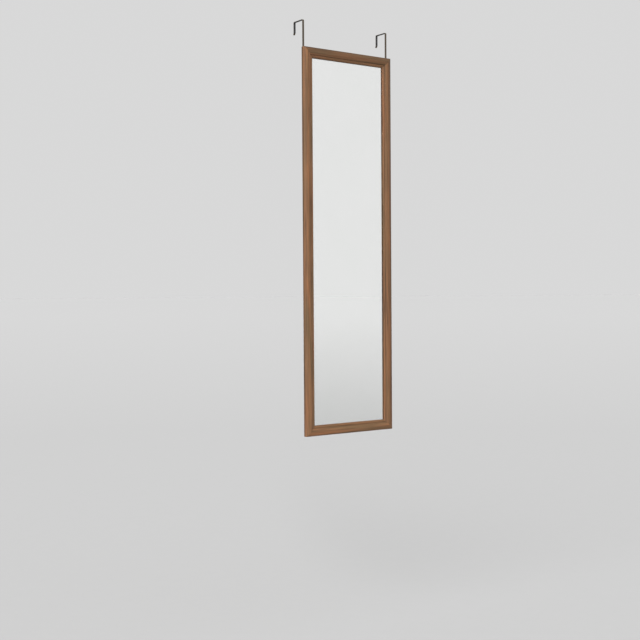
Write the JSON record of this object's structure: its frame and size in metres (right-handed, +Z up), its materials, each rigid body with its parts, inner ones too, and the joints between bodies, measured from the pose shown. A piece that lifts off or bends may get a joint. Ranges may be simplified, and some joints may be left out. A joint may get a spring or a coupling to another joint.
{
  "type": "over-the-door mirror",
  "caption": "Tall narrow mirror in a mitred wood-look moulded frame, hung over a door's top edge by slim folding steel hook straps.",
  "frame": {"origin": "middle of the door's top edge, on the plane of the door's front face, midway between the two hooks", "axes": "+Z up, the mirror faces -Y, the door stands at +Y, +X to the right as seen from the front"},
  "size_m": [0.36, 0.0737, 1.3602],
  "materials": {
    "wood_film": "satin walnut wood-look film",
    "glass": "polished clear float glass",
    "silvering": "silvered, with a painted back",
    "foam": "thin white foam sheet",
    "hardboard": "brown hardboard, textured back",
    "plated_steel": "zinc plated",
    "dark_steel": "dark grey powder coat",
    "pad": "soft dark foam pad",
    "bumper": "translucent soft bumper"
  },
  "bodies": {
    "frame": {"left_stile": "wood_film", "right_stile": "wood_film", "top_rail": "wood_film", "bottom_rail": "wood_film", "mirror_glass": "glass", "mirror_silvering": "silvering", "foam_liner": "foam", "backing_board": "hardboard", "top_left_corner_nails": "plated_steel", "top_right_corner_nails": "plated_steel", "bottom_left_corner_nails": "plated_steel", "bottom_right_corner_nails": "plated_steel", "retaining_points": "plated_steel", "left_hanger_screw": "plated_steel", "right_hanger_screw": "plated_steel", "left_hanger_washer": "plated_steel", "right_hanger_washer": "plated_steel", "left_bumper": "bumper", "right_bumper": "bumper"},
    "left_hanger": {"left_hanger": "dark_steel", "left_hook_pad": "pad"},
    "right_hanger": {"right_hanger": "dark_steel", "right_hook_pad": "pad"}
  },
  "joints": [
    {"name": "left_hanger_fold", "type": "hinge", "parent": "frame", "child": "left_hanger", "pos_m": [-0.172, -0.0033, -0.128], "axis": [0, 1, 0], "range_deg": [0, 180]},
    {"name": "right_hanger_fold", "type": "hinge", "parent": "frame", "child": "right_hanger", "pos_m": [0.172, -0.0033, -0.128], "axis": [0, -1, 0], "range_deg": [0, 180]}
  ]
}
